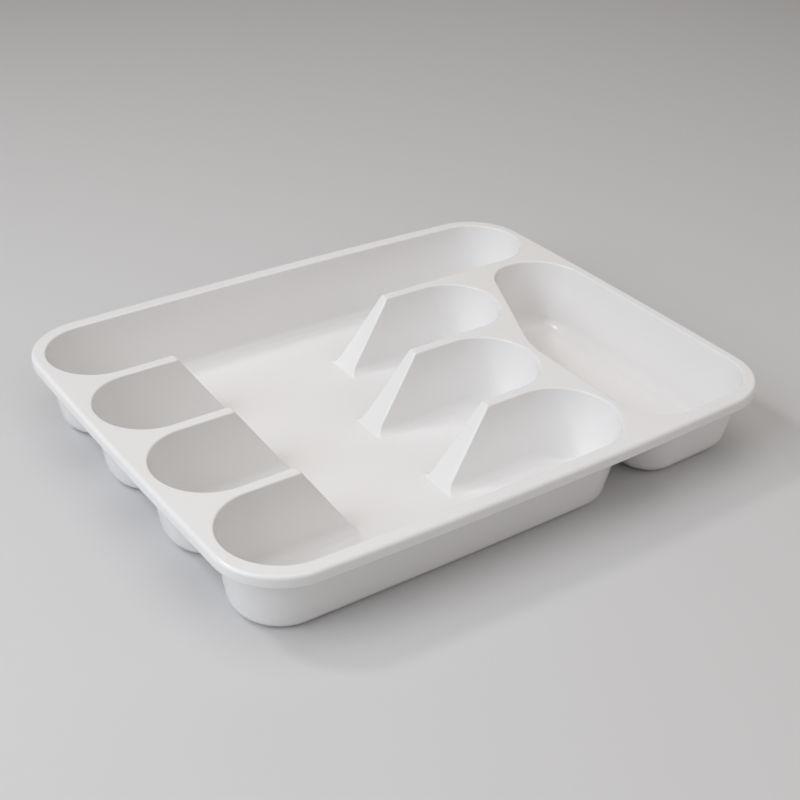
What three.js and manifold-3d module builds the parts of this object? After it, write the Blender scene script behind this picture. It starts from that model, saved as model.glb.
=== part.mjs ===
// Cutlery tray: a drawer organizer insert, moulded in one piece of white plastic.
// Four lanes run from left to right and open onto one shared floor in the middle.
// A side pan with a slanted wall fills the right-hand end.
// Millimetres, +Z up. The tray stands on z = 0 and is centred on x = 0 and y = 0.
// +X runs along the lanes towards the side pan, and +Y runs towards the longest lane.

import * as THREE from 'three';
import { mergeVertices } from 'three/addons/utils/BufferGeometryUtils.js';
import Module from 'manifold-3d';

// Overall sizes.
const LENGTH = 340;
const WIDTH = 270;
const HEIGHT = 44;

// Moulded wall, the same everywhere.
const WALL = 1.5;

// Rim: a flat land around the pockets, with a skirt turned down at its outer edge.
const SKIRT_HEIGHT = 6.5;
const RIM_CORNER_RADIUS = 35;
const RIM_EDGE_RADIUS = 2;
const LONG_SIDE_LAND = 8.8;
const END_LAND = 7;

// How far the middle of each side stands out beyond its ends.
const LONG_SIDE_BOW = 3.8;
const END_BOW = 1.9;

// Pockets: the draft of their walls in degrees, and the rounding at the mouth and the floor.
const OUTER_DRAFT = 10.5;
const DIVIDER_DRAFT = 7.5;
const MOUTH_RADIUS = 1;
const LANE_FLOOR_RADIUS = 6.5;
const SIDE_PAN_FLOOR_RADIUS = 10;

// Lanes from back to front, by how much wider each is than the narrowest lane.
const LANE_EXTRA_WIDTHS = [1, 0, 2.2, 4.6];

// Dividers that reach in between the lanes from both ends.
const DIVIDER_WIDTH = 6.2;
const LEFT_DIVIDER_REACH = 61;
const RIGHT_DIVIDER_REACH = 57.2;
const DIVIDER_SLOPE_RUN = 29;

// Side pan: its left wall runs straight back from the front, then slants in.
const SIDE_PAN_WIDTH = 87.4;
const SIDE_PAN_BACK_WIDTH = 47.3;
const SIDE_PAN_STRAIGHT = 100;
const SIDE_PAN_FRONT_RADIUS = 27;
const SIDE_PAN_BACK_RIGHT_RADIUS = 30;
const SIDE_PAN_BACK_LEFT_RADIUS = 25;
const SIDE_PAN_ELBOW_RADIUS = 50;

// Land left between the side pan and the longest lane, and between it and the other lanes.
const BACK_WEB = 7.9;
const WEB = 5;

// Smallest corner radius left where an outline is moved in further than its radius.
const LEAST_RADIUS = 3;

// How far a cutting solid runs past what it cuts.
const OVERRUN = 10;

// Facets: steps in a quarter turn, along a bowed side, and around a small rounding.
const QUARTER_STEPS = 7;
const BOWED_SIDE_STEPS = 6;
const FLOOR_STEPS = 4;
const EDGE_STEPS = 3;

const wasm = await Module();
wasm.setup();

const halfLength = LENGTH / 2;
const halfWidth = WIDTH / 2;
const quarterTurn = Math.PI / 2;
const outerDraft = THREE.MathUtils.degToRad(OUTER_DRAFT);
const dividerDraft = THREE.MathUtils.degToRad(DIVIDER_DRAFT);

// Turns a point of the straight-sided plan into the plan with bowed sides.
// Points on the outer sides move, and points near the middle stay.
function bowed(point) {
  const u = point.x / halfLength;
  const v = point.y / halfWidth;
  const x = point.x - END_BOW * u ** 3 * v ** 2;
  const y = point.y - LONG_SIDE_BOW * v ** 3 * u ** 2;
  return new THREE.Vector2(x, y);
}

// An outline is a convex list of corners {x, y, r, draft, bow}, counter-clockwise.
// draft and bow belong to the side that runs from this corner to the next one.
function side(corner, next, inset) {
  const along = new THREE.Vector2(next.x - corner.x, next.y - corner.y).normalize();
  return { along, inward: new THREE.Vector2(-along.y, along.x), inset };
}

// The arc that rounds a corner between two sides that are each moved inward by their inset.
function cornerArc(corner, before, after) {
  const turn = Math.acos(before.along.dot(after.along));
  const radius = Math.max(corner.r - Math.max(before.inset, after.inset), LEAST_RADIUS);
  const toBefore = before.inset + radius;
  const toAfter = after.inset + radius;
  const across = (toAfter - toBefore * Math.cos(turn)) / Math.sin(turn);
  const centre = new THREE.Vector2(corner.x, corner.y);
  centre.addScaledVector(before.inward, toBefore);
  centre.addScaledVector(before.along, -across);
  const start = Math.atan2(-before.inward.y, -before.inward.x);
  return { centre, radius, start, turn };
}

function pointOnArc(arc, angle) {
  const radial = new THREE.Vector2(Math.cos(angle), Math.sin(angle));
  return arc.centre.clone().addScaledVector(radial, arc.radius);
}

// The rounded outline, with each side moved inward by insetOf(its draft).
function roundedOutline(corners, insetOf) {
  const count = corners.length;
  const sides = corners.map((corner, i) => {
    return side(corner, corners[(i + 1) % count], insetOf(corner.draft));
  });
  const arcs = corners.map((corner, i) => {
    return cornerArc(corner, sides[(i + count - 1) % count], sides[i]);
  });
  const points = [];
  arcs.forEach((arc, i) => {
    const cornerSteps = Math.ceil((QUARTER_STEPS * arc.turn) / quarterTurn - 0.01);
    for (let step = 0; step <= cornerSteps; step += 1) {
      points.push(pointOnArc(arc, arc.start + (arc.turn * step) / cornerSteps));
    }
    const next = arcs[(i + 1) % count];
    const from = points[points.length - 1];
    const to = pointOnArc(next, next.start);
    const sideSteps = corners[i].bow ? BOWED_SIDE_STEPS : 1;
    for (let step = 1; step < sideSteps; step += 1) {
      points.push(from.clone().lerp(to, step / sideSteps));
    }
  });
  return points.map(bowed);
}

// A closed solid from its geometry.
function solidFrom(geometry) {
  const bare = geometry.clone();
  bare.deleteAttribute('normal');
  bare.deleteAttribute('uv');
  const merged = mergeVertices(bare);
  const vertProperties = new Float32Array(merged.getAttribute('position').array);
  const triVerts = new Uint32Array(merged.getIndex().array);
  return new wasm.Manifold(new wasm.Mesh({ numProp: 3, vertProperties, triVerts }));
}

// The solid that an outline sweeps through heights, lowest first.
// insetAt(z, draft) says how far each side has moved inward at that height.
function stacked(corners, heights, insetAt) {
  const rings = heights.map((z) => roundedOutline(corners, (draft) => insetAt(z, draft)));
  const size = rings[0].length;
  const positions = [];
  const index = [];
  rings.forEach((ring, level) => {
    ring.forEach((point) => positions.push(point.x, point.y, heights[level]));
  });
  for (let level = 0; level + 1 < rings.length; level += 1) {
    for (let i = 0; i < size; i += 1) {
      const a = level * size + i;
      const b = level * size + ((i + 1) % size);
      index.push(a, b, b + size, a, b + size, a + size);
    }
  }
  const top = (rings.length - 1) * size;
  THREE.ShapeUtils.triangulateShape(rings[0], []).forEach(([a, b, c]) => index.push(a, c, b));
  THREE.ShapeUtils.triangulateShape(rings[rings.length - 1], []).forEach(([a, b, c]) => {
    index.push(top + a, top + b, top + c);
  });
  const geometry = new THREE.BufferGeometry();
  geometry.setAttribute('position', new THREE.Float32BufferAttribute(positions, 3));
  geometry.setIndex(index);
  return solidFrom(geometry);
}

// A solid with a profile in x and z, from one y to another.
function prism(profile, lowY, highY) {
  const shape = new THREE.Shape(profile.map(([x, z]) => new THREE.Vector2(x, z)));
  const geometry = new THREE.ExtrudeGeometry(shape, { depth: highY - lowY, bevelEnabled: false });
  geometry.rotateX(quarterTurn);
  geometry.translate(0, highY, 0);
  return solidFrom(geometry);
}

// How far a pocket wall has moved inward at z, with its floor rounding.
// thickness is 0 on the inside of the wall and WALL on its outside.
function wallInset(z, draft, floorRadius, thickness) {
  const radius = floorRadius + thickness;
  const centreZ = WALL + floorRadius;
  if (z >= centreZ - radius * Math.sin(draft)) {
    return (HEIGHT - z) * Math.tan(draft) - thickness / Math.cos(draft);
  }
  const centreInset = (HEIGHT - centreZ) * Math.tan(draft) + floorRadius / Math.cos(draft);
  return centreInset - Math.sqrt(Math.max(radius ** 2 - (centreZ - z) ** 2, 0));
}

// The same on the inside, with the rounding where the wall meets the top of the rim.
function insideInset(z, draft, floorRadius) {
  const centreZ = HEIGHT - MOUTH_RADIUS;
  if (z <= centreZ + MOUTH_RADIUS * Math.sin(draft)) {
    return wallInset(z, draft, floorRadius, 0);
  }
  const centreInset = MOUTH_RADIUS * (Math.tan(draft) - 1 / Math.cos(draft));
  return centreInset + Math.sqrt(Math.max(MOUTH_RADIUS ** 2 - (z - centreZ) ** 2, 0));
}

// The heights of a floor rounding's facets, from the floor up to the drafted wall.
function floorHeights(floorRadius, thickness) {
  const heights = [];
  for (let step = 0; step <= FLOOR_STEPS; step += 1) {
    const angle = quarterTurn - ((quarterTurn - outerDraft) * step) / FLOOR_STEPS;
    heights.push(WALL + floorRadius - (floorRadius + thickness) * Math.sin(angle));
  }
  return heights;
}

// The heights of the facets of an edge that curves over into the top of the rim.
function edgeHeights(radius) {
  const heights = [];
  for (let step = 0; step <= EDGE_STEPS; step += 1) {
    heights.push(HEIGHT - radius * (1 - Math.sin((quarterTurn * step) / EDGE_STEPS)));
  }
  return heights;
}

// The space inside a pocket, run on above the rim so that it cuts the rim open.
function pocketInside({ corners, floorRadius }) {
  const heights = [...floorHeights(floorRadius, 0), ...edgeHeights(MOUTH_RADIUS)];
  heights.push(HEIGHT + OVERRUN);
  return stacked(corners, heights, (z, draft) => {
    return insideInset(Math.min(z, HEIGHT), draft, floorRadius);
  });
}

// The same pocket with its wall on.
function pocketOutside({ corners, floorRadius }) {
  const heights = [...floorHeights(floorRadius, WALL), HEIGHT - WALL, HEIGHT];
  return stacked(corners, heights, (z, draft) => wallInset(z, draft, floorRadius, WALL));
}

// The edges of the space for pockets inside the rim's land.
const frontEdge = -halfWidth + LONG_SIDE_LAND;
const backEdge = halfWidth - LONG_SIDE_LAND;
const leftEdge = -halfLength + END_LAND;
const rightEdge = halfLength - END_LAND;

// What the dividers and the extra widths leave is shared equally among the lanes.
const laneCount = LANE_EXTRA_WIDTHS.length;
const extraWidth = LANE_EXTRA_WIDTHS.reduce((sum, extra) => sum + extra, 0);
const sharedWidth = backEdge - frontEdge - (laneCount - 1) * DIVIDER_WIDTH - extraWidth;
const leastLaneWidth = sharedWidth / laneCount;

// The side pan lies in front of the longest lane.
const panLeft = rightEdge - SIDE_PAN_WIDTH;
const panBack = backEdge - leastLaneWidth - LANE_EXTRA_WIDTHS[0] - BACK_WEB;
const elbow = new THREE.Vector2(panLeft, frontEdge + SIDE_PAN_STRAIGHT);
const panBackLeft = new THREE.Vector2(rightEdge - SIDE_PAN_BACK_WIDTH, panBack);
const sidePan = {
  floorRadius: SIDE_PAN_FLOOR_RADIUS,
  corners: [
    { x: panLeft, y: frontEdge, r: SIDE_PAN_FRONT_RADIUS, draft: outerDraft, bow: true },
    { x: rightEdge, y: frontEdge, r: SIDE_PAN_FRONT_RADIUS, draft: outerDraft, bow: true },
    { x: rightEdge, y: panBack, r: SIDE_PAN_BACK_RIGHT_RADIUS, draft: outerDraft },
    { x: panBackLeft.x, y: panBack, r: SIDE_PAN_BACK_LEFT_RADIUS, draft: outerDraft },
    { x: elbow.x, y: elbow.y, r: SIDE_PAN_ELBOW_RADIUS, draft: outerDraft },
  ],
};

// Where a lane with this centre line and end radius stops short of the side pan.
function laneRightEnd(centreY, radius) {
  const slant = panBackLeft.clone().sub(elbow).normalize();
  const reach = radius + WEB;
  const besideStraight = panLeft - reach;
  const besideSlant = panLeft + ((centreY - elbow.y) * slant.x - reach) / slant.y;
  return Math.max(besideStraight, besideSlant) + radius;
}

// A lane with round ends, and outer walls only where it meets the rim.
function lane(front, back, isFront, isBack) {
  const radius = (back - front) / 2;
  const centreY = front + radius;
  const right = isBack ? rightEdge : laneRightEnd(centreY, radius);
  const frontDraft = isFront ? outerDraft : dividerDraft;
  const backDraft = isBack ? outerDraft : dividerDraft;
  const corners = [
    { x: leftEdge, y: front, r: radius, draft: frontDraft, bow: isFront },
    { x: right, y: front, r: radius, draft: outerDraft },
    { x: right, y: back, r: radius, draft: backDraft, bow: isBack },
    { x: leftEdge, y: back, r: radius, draft: outerDraft },
  ];
  return { floorRadius: LANE_FLOOR_RADIUS, corners, centreY, right };
}

// The lanes, from back to front.
const lanes = [];
let laneBack = backEdge;
LANE_EXTRA_WIDTHS.forEach((extra, i) => {
  const laneFront = laneBack - leastLaneWidth - extra;
  lanes.push(lane(laneFront, laneBack, i === laneCount - 1, i === 0));
  laneBack = laneFront - DIVIDER_WIDTH;
});

// The opening between a left and a right divider on one line, with its sloping ends.
// thickness is 0 on the inside of the tray and WALL on its outside.
function dividerOpening(back, front, thickness) {
  const depth = HEIGHT - WALL;
  const sideways = thickness * Math.hypot(1, DIVIDER_SLOPE_RUN / depth);
  const bottom = WALL - thickness;
  const top = thickness > 0 ? HEIGHT : HEIGHT + OVERRUN;
  const run = (z) => (DIVIDER_SLOPE_RUN * (HEIGHT - z)) / depth;
  const left = leftEdge + LEFT_DIVIDER_REACH - sideways;
  const right = front.right - RIGHT_DIVIDER_REACH + sideways;
  const rightOfLeftDivider = [
    [left + run(bottom), bottom],
    [rightEdge, bottom],
    [rightEdge, top],
    [left + run(top), top],
  ];
  const leftOfRightDivider = [
    [leftEdge, bottom],
    [right - run(bottom), bottom],
    [right - run(top), top],
    [leftEdge, top],
  ];
  const opening = prism(rightOfLeftDivider, front.centreY, back.centreY);
  return opening.intersect(prism(leftOfRightDivider, front.centreY, back.centreY));
}

// How far the rim's outer edge has curved in at z.
function rimInset(z) {
  const rise = Math.max(z - (HEIGHT - RIM_EDGE_RADIUS), 0);
  return RIM_EDGE_RADIUS - Math.sqrt(Math.max(RIM_EDGE_RADIUS ** 2 - rise ** 2, 0));
}

// The rim before the pockets are cut: its land and its skirt.
function rimBlank() {
  const cornerAt = (x, y) => ({ x, y, r: RIM_CORNER_RADIUS, bow: true });
  const corners = [
    cornerAt(-halfLength, -halfWidth),
    cornerAt(halfLength, -halfWidth),
    cornerAt(halfLength, halfWidth),
    cornerAt(-halfLength, halfWidth),
  ];
  const skirtBottom = HEIGHT - SKIRT_HEIGHT;
  const blank = stacked(corners, [skirtBottom, ...edgeHeights(RIM_EDGE_RADIUS)], rimInset);
  const hollow = stacked(corners, [skirtBottom - OVERRUN, HEIGHT - WALL], () => WALL);
  return blank.subtract(hollow);
}

// Every outer shape is joined before any inner space is cut.
function trayGeometry() {
  const pockets = [...lanes, sidePan];
  let solid = rimBlank();
  pockets.forEach((pocket) => {
    solid = solid.add(pocketOutside(pocket));
  });
  for (let i = 0; i + 1 < laneCount; i += 1) {
    solid = solid.add(dividerOpening(lanes[i], lanes[i + 1], WALL));
  }
  pockets.forEach((pocket) => {
    solid = solid.subtract(pocketInside(pocket));
  });
  for (let i = 0; i + 1 < laneCount; i += 1) {
    solid = solid.subtract(dividerOpening(lanes[i], lanes[i + 1], 0));
  }
  const mesh = solid.getMesh();
  const geometry = new THREE.BufferGeometry();
  geometry.setAttribute('position', new THREE.BufferAttribute(mesh.vertProperties, 3));
  geometry.setIndex(new THREE.BufferAttribute(mesh.triVerts, 1));
  geometry.computeVertexNormals();
  return geometry;
}

const whitePlastic = new THREE.MeshStandardMaterial({
  color: 0xe9e8e6,
  roughness: 0.35,
  metalness: 0,
});

const tray = new THREE.Mesh(trayGeometry(), whitePlastic);
tray.name = 'tray';

const cutleryTray = new THREE.Group();
cutleryTray.add(tray);

export default cutleryTray;
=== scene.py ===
# Cutlery tray: a drawer organizer insert, moulded in one piece of white plastic.
# Metres, +Z up. The tray stands on z = 0 and is centred on x = 0 and y = 0.
# +X runs along the lanes towards the side pan, and +Y runs towards the longest lane.

import math
from collections import namedtuple

import bmesh
import bpy
from mathutils import Matrix, Vector
from mathutils.geometry import delaunay_2d_cdt


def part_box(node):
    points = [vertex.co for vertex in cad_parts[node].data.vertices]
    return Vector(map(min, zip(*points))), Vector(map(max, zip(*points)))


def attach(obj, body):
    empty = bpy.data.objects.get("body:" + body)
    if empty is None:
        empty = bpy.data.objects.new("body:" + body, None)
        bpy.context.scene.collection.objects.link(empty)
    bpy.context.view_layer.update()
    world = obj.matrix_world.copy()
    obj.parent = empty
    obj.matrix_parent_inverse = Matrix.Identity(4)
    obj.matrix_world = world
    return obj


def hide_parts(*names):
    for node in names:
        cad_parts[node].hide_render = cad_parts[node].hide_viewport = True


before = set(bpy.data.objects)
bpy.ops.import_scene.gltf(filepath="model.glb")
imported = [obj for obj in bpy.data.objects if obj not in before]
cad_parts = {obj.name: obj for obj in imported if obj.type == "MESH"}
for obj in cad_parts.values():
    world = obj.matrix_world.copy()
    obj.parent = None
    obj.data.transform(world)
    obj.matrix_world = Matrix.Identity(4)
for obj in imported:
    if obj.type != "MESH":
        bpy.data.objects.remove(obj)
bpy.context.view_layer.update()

# Overall sizes, from the frame.
TRAY_LOW, TRAY_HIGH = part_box("tray")
HALF_LENGTH = (TRAY_HIGH.x - TRAY_LOW.x) / 2
HALF_WIDTH = (TRAY_HIGH.y - TRAY_LOW.y) / 2
HEIGHT = TRAY_HIGH.z

# Moulded wall, the same everywhere.
WALL = 0.0015

# Rim: a flat land around the pockets, with a skirt turned down at its outer edge.
SKIRT_HEIGHT = 0.0065
SKIRT_LIP_RADIUS = 0.0006
SKIRT_ROOT_RADIUS = 0.0008
RIM_CORNER_RADIUS = 0.035
RIM_EDGE_RADIUS = 0.002
LONG_SIDE_LAND = 0.0088
END_LAND = 0.007

# How far the middle of each side stands out beyond its ends.
LONG_SIDE_BOW = 0.0038
END_BOW = 0.0019

# Pockets: the draft of their walls, and the rounding at the mouth and the floor.
OUTER_DRAFT = math.radians(10.5)
DIVIDER_DRAFT = math.radians(7.5)
MOUTH_RADIUS = 0.001
LANE_FLOOR_RADIUS = 0.0065
SIDE_PAN_FLOOR_RADIUS = 0.010

# Lanes from back to front, by how much wider each is than the narrowest lane.
LANE_EXTRA_WIDTHS = (0.001, 0, 0.0022, 0.0046)

# Dividers that reach in between the lanes from both ends, each with a sloping end face.
DIVIDER_WIDTH = 0.0062
LEFT_DIVIDER_REACH = 0.061
RIGHT_DIVIDER_REACH = 0.0572
DIVIDER_SLOPE_RUN = 0.029
DIVIDER_FOOT_RADIUS = 0.0015
DIVIDER_CORNER_RADIUS = 0.0011
LEAST_DIVIDER_CORNER_RADIUS = 0.0004

# Side pan: its left wall runs straight back from the front, then slants in.
SIDE_PAN_WIDTH = 0.0874
SIDE_PAN_BACK_WIDTH = 0.0473
SIDE_PAN_STRAIGHT = 0.100
SIDE_PAN_FRONT_RADIUS = 0.027
SIDE_PAN_BACK_RIGHT_RADIUS = 0.030
SIDE_PAN_BACK_LEFT_RADIUS = 0.025
SIDE_PAN_ELBOW_RADIUS = 0.050

# Land left between the side pan and the longest lane, and between it and the other lanes.
BACK_WEB = 0.0079
WEB = 0.005

# Smallest corner radius left where an outline is moved in further than its radius.
LEAST_RADIUS = 0.003

# Width of the strip that keeps a flat face flat next to a rounding.
FLAT_MARGIN = 0.0003

# Mesh steps: in a quarter turn, around a divider's corner, and up each part of a wall.
QUARTER_STEPS = 20
DIVIDER_CORNER_STEPS = 5
FLOOR_STEPS = 12
WALL_STEPS = 6
EDGE_STEPS = 7
BOWED_SIDE_STEP = 0.006

# How a flat face is triangulated: only inside its edge, merging points closer than this.
# A triangle that lies in the edge's region and in no other isn't in a hole.
INSIDE_ONLY = 1
SAME_POINT = 1e-7
EDGE_REGION = 0

QUARTER_TURN = math.pi / 2

# A corner of an outline, with the mesh steps around it and along the side after it.
Corner = namedtuple("Corner", "at radius steps side_steps")
Lane = namedtuple("Lane", "front back right radius front_draft back_draft")

# A corner of a convex plan, and whether the side after it is bowed.
PlanCorner = namedtuple("PlanCorner", "at radius has_bow")


# Plan of the pockets -------------------------------------------------------------------

FRONT_EDGE = -HALF_WIDTH + LONG_SIDE_LAND
BACK_EDGE = HALF_WIDTH - LONG_SIDE_LAND
LEFT_EDGE = -HALF_LENGTH + END_LAND
RIGHT_EDGE = HALF_LENGTH - END_LAND
LANE_COUNT = len(LANE_EXTRA_WIDTHS)
DIVIDER_GAPS = (LANE_COUNT - 1) * DIVIDER_WIDTH
SHARED_WIDTH = BACK_EDGE - FRONT_EDGE - DIVIDER_GAPS - sum(LANE_EXTRA_WIDTHS)
LEAST_LANE_WIDTH = SHARED_WIDTH / LANE_COUNT
PAN_LEFT = RIGHT_EDGE - SIDE_PAN_WIDTH
PAN_BACK = BACK_EDGE - LEAST_LANE_WIDTH - LANE_EXTRA_WIDTHS[0] - BACK_WEB
ELBOW = Vector((PAN_LEFT, FRONT_EDGE + SIDE_PAN_STRAIGHT))
PAN_BACK_LEFT = Vector((RIGHT_EDGE - SIDE_PAN_BACK_WIDTH, PAN_BACK))
SLOPE_DRAFT = math.atan(DIVIDER_SLOPE_RUN / (HEIGHT - WALL))


def lane_right_end(centre_y, radius):
    """Where a lane with this centre line and end radius stops short of the side pan."""
    slant = (PAN_BACK_LEFT - ELBOW).normalized()
    reach = radius + WEB
    beside_straight = PAN_LEFT - reach
    beside_slant = PAN_LEFT + ((centre_y - ELBOW.y) * slant.x - reach) / slant.y
    return max(beside_straight, beside_slant) + radius


def make_lanes():
    """The lanes from back to front, with outer walls only where they meet the rim."""
    lanes = []
    back = BACK_EDGE
    last = LANE_COUNT - 1
    for i, extra in enumerate(LANE_EXTRA_WIDTHS):
        front = back - LEAST_LANE_WIDTH - extra
        radius = (back - front) / 2
        right = RIGHT_EDGE if i == 0 else lane_right_end(front + radius, radius)
        front_draft = OUTER_DRAFT if i == last else DIVIDER_DRAFT
        back_draft = OUTER_DRAFT if i == 0 else DIVIDER_DRAFT
        lanes.append(Lane(front, back, right, radius, front_draft, back_draft))
        back = front - DIVIDER_WIDTH
    return lanes


LANES = make_lanes()


def bowed(point):
    """Turns a point of the straight-sided plan into the plan with bowed sides."""
    u = point.x / HALF_LENGTH
    v = point.y / HALF_WIDTH
    return Vector((point.x - END_BOW * u**3 * v**2, point.y - LONG_SIDE_BOW * v**3 * u**2))


def corner_arc(before, corner, after):
    """The points that round one corner, which may turn either way."""
    incoming = (corner.at - before.at).normalized()
    outgoing = (after.at - corner.at).normalized()
    turn = math.atan2(incoming.cross(outgoing), incoming.dot(outgoing))
    start = corner.at - incoming * corner.radius * math.tan(abs(turn) / 2)
    centre = start + Vector((-incoming.y, incoming.x)) * math.copysign(corner.radius, turn)
    return [
        centre + Matrix.Rotation(turn * step / corner.steps, 2) @ (start - centre)
        for step in range(corner.steps + 1)
    ]


def outline(corners):
    """The closed outline with its corners rounded, counter-clockwise."""
    count = len(corners)
    arcs = [
        corner_arc(corners[i - 1], corner, corners[(i + 1) % count])
        for i, corner in enumerate(corners)
    ]
    points = []
    for i, corner in enumerate(corners):
        points.extend(arcs[i])
        side_end = arcs[(i + 1) % count][0]
        for step in range(1, corner.side_steps):
            points.append(arcs[i][-1].lerp(side_end, step / corner.side_steps))
    return [bowed(point) for point in points]


def bowed_side_steps(length):
    """Mesh steps along a bowed side of this length."""
    return round(length / BOWED_SIDE_STEP)


# Walls ---------------------------------------------------------------------------------

# One height of a pocket's skin. thickness is 0 on the inside of the wall and WALL on its
# outside, and margin moves the whole outline in further.
Level = namedtuple("Level", "z thickness margin")


def wall_inset(z, draft, floor_radius, thickness):
    """How far a drafted wall, with the rounding at its foot, has moved in at height z."""
    radius = floor_radius + thickness
    centre_z = WALL + floor_radius
    if z >= centre_z - radius * math.sin(draft):
        return (HEIGHT - z) * math.tan(draft) - thickness / math.cos(draft)
    centre_inset = (HEIGHT - centre_z) * math.tan(draft) + floor_radius / math.cos(draft)
    return centre_inset - math.sqrt(max(radius**2 - (centre_z - z) ** 2, 0))


def level_inset(level, draft, floor_radius):
    """The wall's inset, with the inside rounding where it meets the top of the rim."""
    centre_z = HEIGHT - MOUTH_RADIUS
    if level.thickness or level.z <= centre_z + MOUTH_RADIUS * math.sin(draft):
        return level.margin + wall_inset(level.z, draft, floor_radius, level.thickness)
    centre_inset = MOUTH_RADIUS * (math.tan(draft) - 1 / math.cos(draft))
    rise = level.z - centre_z
    return level.margin + centre_inset + math.sqrt(max(MOUTH_RADIUS**2 - rise**2, 0))


def wall_corner(x, y, radius, insets, side_steps=1):
    """A corner between two walls that have moved in by their insets."""
    moved = max(radius - max(insets), LEAST_RADIUS)
    return Corner(Vector((x, y)), moved, QUARTER_STEPS, side_steps)


def divider_corner(x, y, level):
    """An upright corner at the end of a divider."""
    radius = max(DIVIDER_CORNER_RADIUS - level.thickness, LEAST_DIVIDER_CORNER_RADIUS)
    return Corner(Vector((x, y)), radius, DIVIDER_CORNER_STEPS, 1)


def lanes_outline(level):
    """The four lanes and the floor that they share, as one outline around the dividers."""
    outer = level_inset(level, OUTER_DRAFT, LANE_FLOOR_RADIUS)
    slope = level_inset(level, SLOPE_DRAFT, DIVIDER_FOOT_RADIUS)
    left_tip = LEFT_EDGE + LEFT_DIVIDER_REACH + slope
    left = LEFT_EDGE + outer
    right_ends = []
    left_ends = []
    last = LANE_COUNT - 1
    for i, lane in enumerate(LANES):
        front_inset = level_inset(level, lane.front_draft, LANE_FLOOR_RADIUS)
        back_inset = level_inset(level, lane.back_draft, LANE_FLOOR_RADIUS)
        front = lane.front + front_inset
        back = lane.back - back_inset
        right = lane.right - outer
        front_insets = (front_inset, outer)
        back_insets = (back_inset, outer)
        rim_side_steps = bowed_side_steps(lane.right - LEFT_EDGE)
        back_steps = rim_side_steps if i == 0 else 1
        front_steps = rim_side_steps if i == last else 1
        at_right = [
            wall_corner(right, front, lane.radius, front_insets),
            wall_corner(right, back, lane.radius, back_insets, back_steps),
        ]
        at_left = [
            wall_corner(left, back, lane.radius, back_insets),
            wall_corner(left, front, lane.radius, front_insets, front_steps),
        ]
        if i > 0:
            tip = lane.right - RIGHT_DIVIDER_REACH - slope
            at_right.append(divider_corner(tip, back, level))
            at_left.insert(0, divider_corner(left_tip, back, level))
        if i < last:
            tip = LANES[i + 1].right - RIGHT_DIVIDER_REACH - slope
            at_right.insert(0, divider_corner(tip, front, level))
            at_left.append(divider_corner(left_tip, front, level))
        right_ends = at_right + right_ends
        left_ends = left_ends + at_left
    return outline(right_ends + left_ends)


SIDE_PAN_PLAN = (
    PlanCorner(Vector((PAN_LEFT, FRONT_EDGE)), SIDE_PAN_FRONT_RADIUS, True),
    PlanCorner(Vector((RIGHT_EDGE, FRONT_EDGE)), SIDE_PAN_FRONT_RADIUS, True),
    PlanCorner(Vector((RIGHT_EDGE, PAN_BACK)), SIDE_PAN_BACK_RIGHT_RADIUS, False),
    PlanCorner(PAN_BACK_LEFT, SIDE_PAN_BACK_LEFT_RADIUS, False),
    PlanCorner(ELBOW, SIDE_PAN_ELBOW_RADIUS, False),
)


def moved_in(plan, inset):
    """The corners of a convex plan once every side has moved in by the same inset."""
    corners = []
    for i, (at, radius, has_bow) in enumerate(plan):
        before = (at - plan[i - 1].at).normalized()
        to_next = plan[(i + 1) % len(plan)].at - at
        after = to_next.normalized()
        half_turn = math.acos(max(-1, min(1, before.dot(after)))) / 2
        inward = Vector((-before.y - after.y, before.x + after.x)).normalized()
        place = at + inward * inset / math.cos(half_turn)
        steps = round(QUARTER_STEPS * 2 * half_turn / QUARTER_TURN)
        moved = max(radius - inset, LEAST_RADIUS)
        along = bowed_side_steps(to_next.length) if has_bow else 1
        corners.append(Corner(place, moved, steps, along))
    return corners


def side_pan_outline(level):
    return outline(moved_in(SIDE_PAN_PLAN, level_inset(level, OUTER_DRAFT, SIDE_PAN_FLOOR_RADIUS)))


def rim_outline(inset):
    plan = [
        PlanCorner(Vector((x * HALF_LENGTH, y * HALF_WIDTH)), RIM_CORNER_RADIUS, True)
        for x, y in ((-1, -1), (1, -1), (1, 1), (-1, 1))
    ]
    return outline(moved_in(plan, inset))


# Heights -------------------------------------------------------------------------------


def floor_rounding(floor_radius, thickness):
    """Heights up a floor rounding, from the floor to the drafted wall."""
    radius = floor_radius + thickness
    top_angle = QUARTER_TURN - OUTER_DRAFT
    return [
        WALL + floor_radius - radius * math.cos(top_angle * step / FLOOR_STEPS)
        for step in range(FLOOR_STEPS + 1)
    ]


def evenly(low, high):
    """Heights between two others, without either."""
    return [low + (high - low) * step / WALL_STEPS for step in range(1, WALL_STEPS)]


def inside_levels(floor_radius):
    rounding = floor_rounding(floor_radius, 0)
    mouth = [
        HEIGHT - MOUTH_RADIUS * (1 - math.sin(QUARTER_TURN * step / EDGE_STEPS))
        for step in range(EDGE_STEPS + 1)
    ]
    heights = rounding + evenly(rounding[-1], mouth[0]) + mouth
    levels = [Level(z, 0, 0) for z in heights]
    return [Level(WALL, 0, FLAT_MARGIN)] + levels + [Level(HEIGHT, 0, -FLAT_MARGIN)]


def outside_levels(floor_radius):
    rounding = floor_rounding(floor_radius, WALL)
    heights = rounding + evenly(rounding[-1], HEIGHT - WALL) + [HEIGHT - WALL]
    return [Level(0, WALL, FLAT_MARGIN)] + [Level(z, WALL, 0) for z in heights]


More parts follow.
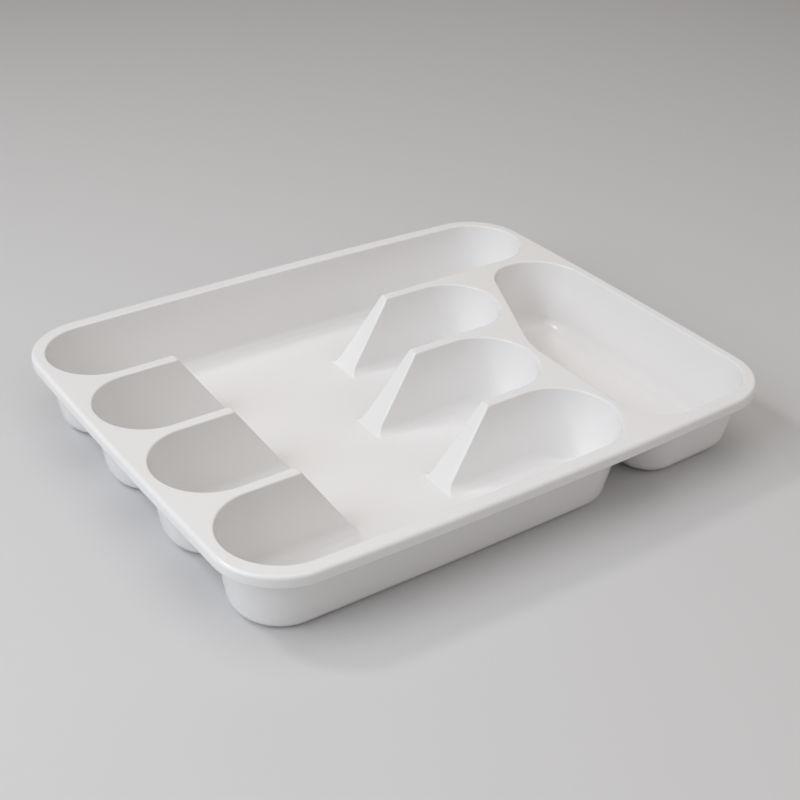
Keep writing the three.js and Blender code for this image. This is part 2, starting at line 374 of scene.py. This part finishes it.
def rim_profile():
    """(z, inset) pairs: down inside the skirt, round its lip, up outside and over the edge."""
    bottom = HEIGHT - SKIRT_HEIGHT
    quarter = [QUARTER_TURN * step / EDGE_STEPS for step in range(EDGE_STEPS + 1)]
    root, lip, edge = SKIRT_ROOT_RADIUS, SKIRT_LIP_RADIUS, RIM_EDGE_RADIUS
    profile = [
        (HEIGHT - WALL - root * (1 - math.cos(a)), WALL + root * (1 - math.sin(a)))
        for a in quarter
    ]
    profile += [
        (bottom + lip * (1 - math.sin(a)), WALL - lip * (1 - math.cos(a))) for a in quarter
    ]
    profile += [(bottom + lip * (1 - math.cos(a)), lip * (1 - math.sin(a))) for a in quarter]
    profile += [(HEIGHT - edge * (1 - math.sin(a)), edge * (1 - math.cos(a))) for a in quarter]
    return profile + [(HEIGHT, edge + FLAT_MARGIN)]


# Mesh ----------------------------------------------------------------------------------


def ring(bm, points, z):
    return [bm.verts.new((point.x, point.y, z)) for point in points]


def skin(bm, rings):
    """Quads between rings that have the same number of points."""
    for lower, upper in zip(rings, rings[1:]):
        for i in range(len(lower)):
            bm.faces.new((lower[i - 1], lower[i], upper[i], upper[i - 1]))


def flat_face(bm, loops):
    """A flat face in well-shaped triangles. The first loop is its edge, the others are holes."""
    verts = [vert for loop in loops for vert in loop]
    regions = []
    first = 0
    for loop in loops:
        regions.append(list(range(first, first + len(loop))))
        first += len(loop)
    plan = [vert.co.xy for vert in verts]
    found = delaunay_2d_cdt(plan, [], regions, INSIDE_ONLY, SAME_POINT)
    _, _, triangles, sources, _, parents = found
    for corners, regions_around in zip(triangles, parents):
        if regions_around == [EDGE_REGION]:
            bm.faces.new([verts[sources[i][0]] for i in corners])


def pocket(bm, outline_at, levels):
    """The skin of a pocket, closed at its floor. Gives back its highest ring."""
    rings = [ring(bm, outline_at(level), level.z) for level in levels]
    skin(bm, rings)
    flat_face(bm, [rings[0]])
    return rings[-1]


def tray_mesh():
    """One closed skin: pockets, rim and skirt, and the outsides of the pockets."""
    bm = bmesh.new()
    pockets = (
        (lanes_outline, LANE_FLOOR_RADIUS),
        (side_pan_outline, SIDE_PAN_FLOOR_RADIUS),
    )
    mouths = [pocket(bm, plan, inside_levels(radius)) for plan, radius in pockets]
    roots = [pocket(bm, plan, outside_levels(radius)) for plan, radius in pockets]
    rim = [ring(bm, rim_outline(inset), z) for z, inset in rim_profile()]
    skin(bm, rim)
    flat_face(bm, [rim[-1]] + mouths)
    flat_face(bm, [rim[0]] + roots)
    bmesh.ops.recalc_face_normals(bm, faces=bm.faces)
    mesh = bpy.data.meshes.new("tray_shell")
    bm.to_mesh(mesh)
    bm.free()
    return mesh


# Material ------------------------------------------------------------------------------

SHARP_ANGLE = math.radians(35)
PLASTIC_LIGHT = (0.885, 0.88, 0.885, 1)
PLASTIC_DEEP = (0.865, 0.86, 0.86, 1)
LEAST_ROUGHNESS = 0.17
MOST_ROUGHNESS = 0.23
PLASTIC_IOR = 1.49
TONE_SCALE = 9
TONE_DETAIL = 2
SHEEN_SCALE = 38
SHEEN_DETAIL = 3
MOULD_GRAIN_SCALE = 2600
MOULD_GRAIN_DETAIL = 2
MOULD_GRAIN_DEPTH = 0.000008
SINK_SCALE = 22
SINK_DETAIL = 1
SINK_DEPTH = 0.00006
BUMP_STRENGTH = 1


def noise(nodes, links, coordinates, scale, detail):
    node = nodes.new("ShaderNodeTexNoise")
    node.inputs["Scale"].default_value = scale
    node.inputs["Detail"].default_value = detail
    links.new(coordinates, node.inputs["Vector"])
    return node.outputs["Fac"]


def bump(nodes, links, height, depth, normal):
    node = nodes.new("ShaderNodeBump")
    node.inputs["Strength"].default_value = BUMP_STRENGTH
    node.inputs["Distance"].default_value = depth
    links.new(height, node.inputs["Height"])
    if normal:
        links.new(normal, node.inputs["Normal"])
    return node.outputs["Normal"]


def white_plastic():
    """Off-white moulded polypropylene: a soft gloss over fine mould grain and faint sinks."""
    material = bpy.data.materials.new("white_plastic_moulded")
    material.use_nodes = True
    nodes = material.node_tree.nodes
    links = material.node_tree.links
    shader = nodes["Principled BSDF"]
    shader.inputs["IOR"].default_value = PLASTIC_IOR
    coordinates = nodes.new("ShaderNodeTexCoord").outputs["Object"]

    tone = nodes.new("ShaderNodeMix")
    tone.data_type = "RGBA"
    tone.inputs["A"].default_value = PLASTIC_DEEP
    tone.inputs["B"].default_value = PLASTIC_LIGHT
    shade = noise(nodes, links, coordinates, TONE_SCALE, TONE_DETAIL)
    links.new(shade, tone.inputs["Factor"])
    links.new(tone.outputs["Result"], shader.inputs["Base Color"])

    sheen = nodes.new("ShaderNodeMapRange")
    sheen.inputs["To Min"].default_value = LEAST_ROUGHNESS
    sheen.inputs["To Max"].default_value = MOST_ROUGHNESS
    gloss = noise(nodes, links, coordinates, SHEEN_SCALE, SHEEN_DETAIL)
    links.new(gloss, sheen.inputs["Value"])
    links.new(sheen.outputs["Result"], shader.inputs["Roughness"])

    sinks = noise(nodes, links, coordinates, SINK_SCALE, SINK_DETAIL)
    grain = noise(nodes, links, coordinates, MOULD_GRAIN_SCALE, MOULD_GRAIN_DETAIL)
    broad = bump(nodes, links, sinks, SINK_DEPTH, None)
    links.new(bump(nodes, links, grain, MOULD_GRAIN_DEPTH, broad), shader.inputs["Normal"])
    return material


def make_tray():
    mesh = tray_mesh()
    mesh.shade_smooth()
    mesh.set_sharp_from_angle(angle=SHARP_ANGLE)
    mesh.materials.append(white_plastic())
    tray = bpy.data.objects.new("tray_shell", mesh)
    bpy.context.collection.objects.link(tray)
    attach(tray, "root")
    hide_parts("tray")


# Studio --------------------------------------------------------------------------------

FLOOR_SIZE = 30
FLOOR_COLOUR = (0.68, 0.68, 0.69, 1)
FLOOR_ROUGHNESS = 0.7
WORLD_COLOUR = (1, 0.95, 0.88, 1)
WORLD_STRENGTH = 0.15

# Disk lights, all equally far from the origin and aimed at it. Angles are in degrees, and
# azimuth 0 is in front. The small lamp makes the glints in the glossy corners of the pockets.
Softbox = namedtuple("Softbox", "name azimuth elevation size power colour")
LIGHT_DISTANCE = 1.4
SOFTBOX_SIZE = 1.1
LAMP_SIZE = 0.2
COOL = (0.94, 0.96, 1)
BLUE = (0.76, 0.88, 1)
WARM = (1, 0.94, 0.88)
NEUTRAL = (1, 0.975, 0.95)
SOFTBOXES = (
    Softbox("left_softbox", -90, 40, SOFTBOX_SIZE, 8, COOL),
    Softbox("low_left_softbox", -90, 15, SOFTBOX_SIZE, 2.2, BLUE),
    Softbox("top_softbox", 0, 88, SOFTBOX_SIZE, 4.1, NEUTRAL),
    Softbox("back_left_lamp", -128, 50, LAMP_SIZE, 2.7, NEUTRAL),
    Softbox("front_softbox", 0, 40, SOFTBOX_SIZE, 1.8, WARM),
    Softbox("front_right_softbox", 45, 40, SOFTBOX_SIZE, 2, NEUTRAL),
    Softbox("back_right_softbox", 135, 40, SOFTBOX_SIZE, 1.3, WARM),
)

# Where the camera is: its way and distance from the middle of the rim, turned and moved a
# little in its own picture plane.
CAMERA_AZIMUTH = math.radians(-37.09)
CAMERA_ELEVATION = math.radians(31.69)
CAMERA_ROLL = math.radians(2.883)
CAMERA_DISTANCE = 0.7428
CAMERA_ASIDE = 0.0022
CAMERA_LOWERED = 0.0223

# The camera's lens and sensor, in millimetres.
CAMERA_LENS = 60.33
CAMERA_SENSOR = 36


def direction(azimuth, elevation):
    """The way from the tray to a light or the camera. Azimuth 0 is in front, on the -Y side."""
    level = math.cos(elevation)
    return Vector((math.sin(azimuth) * level, -math.cos(azimuth) * level, math.sin(elevation)))


def make_floor():
    bpy.ops.mesh.primitive_plane_add(size=FLOOR_SIZE)
    floor = bpy.context.object
    floor.name = "studio_floor"
    material = bpy.data.materials.new("studio_floor")
    material.use_nodes = True
    shader = material.node_tree.nodes["Principled BSDF"]
    shader.inputs["Base Color"].default_value = FLOOR_COLOUR
    shader.inputs["Roughness"].default_value = FLOOR_ROUGHNESS
    floor.data.materials.append(material)


def make_lights():
    world = bpy.data.worlds.new("studio_world")
    world.use_nodes = True
    background = world.node_tree.nodes["Background"]
    background.inputs["Color"].default_value = WORLD_COLOUR
    background.inputs["Strength"].default_value = WORLD_STRENGTH
    bpy.context.scene.world = world
    for box in SOFTBOXES:
        light = bpy.data.lights.new(box.name, "AREA")
        light.shape = "DISK"
        light.size = box.size
        light.energy = box.power
        light.color = box.colour
        lamp = bpy.data.objects.new(box.name, light)
        back = direction(math.radians(box.azimuth), math.radians(box.elevation))
        lamp.location = back * LIGHT_DISTANCE
        lamp.rotation_mode = "QUATERNION"
        lamp.rotation_quaternion = back.to_track_quat("Z", "Y")
        bpy.context.collection.objects.link(lamp)


def make_camera():
    """Looks past the middle of the rim, from in front on the left, turned a little."""
    back = direction(CAMERA_AZIMUTH, CAMERA_ELEVATION)
    level_right = Vector((0, 0, 1)).cross(back).normalized()
    level_up = back.cross(level_right)
    right = level_right * math.cos(CAMERA_ROLL) + level_up * math.sin(CAMERA_ROLL)
    up = back.cross(right)
    data = bpy.data.cameras.new("photo_camera")
    data.lens = CAMERA_LENS
    data.sensor_width = CAMERA_SENSOR
    camera = bpy.data.objects.new("photo_camera", data)
    place = Vector((0, 0, HEIGHT))
    place += back * CAMERA_DISTANCE + right * CAMERA_ASIDE - up * CAMERA_LOWERED
    axes = Matrix((right, up, back)).transposed()
    camera.matrix_world = Matrix.Translation(place) @ axes.to_4x4()
    bpy.context.collection.objects.link(camera)
    bpy.context.scene.camera = camera


make_camera()
make_tray()
make_floor()
make_lights()
bpy.context.scene.view_settings.view_transform = "Standard"
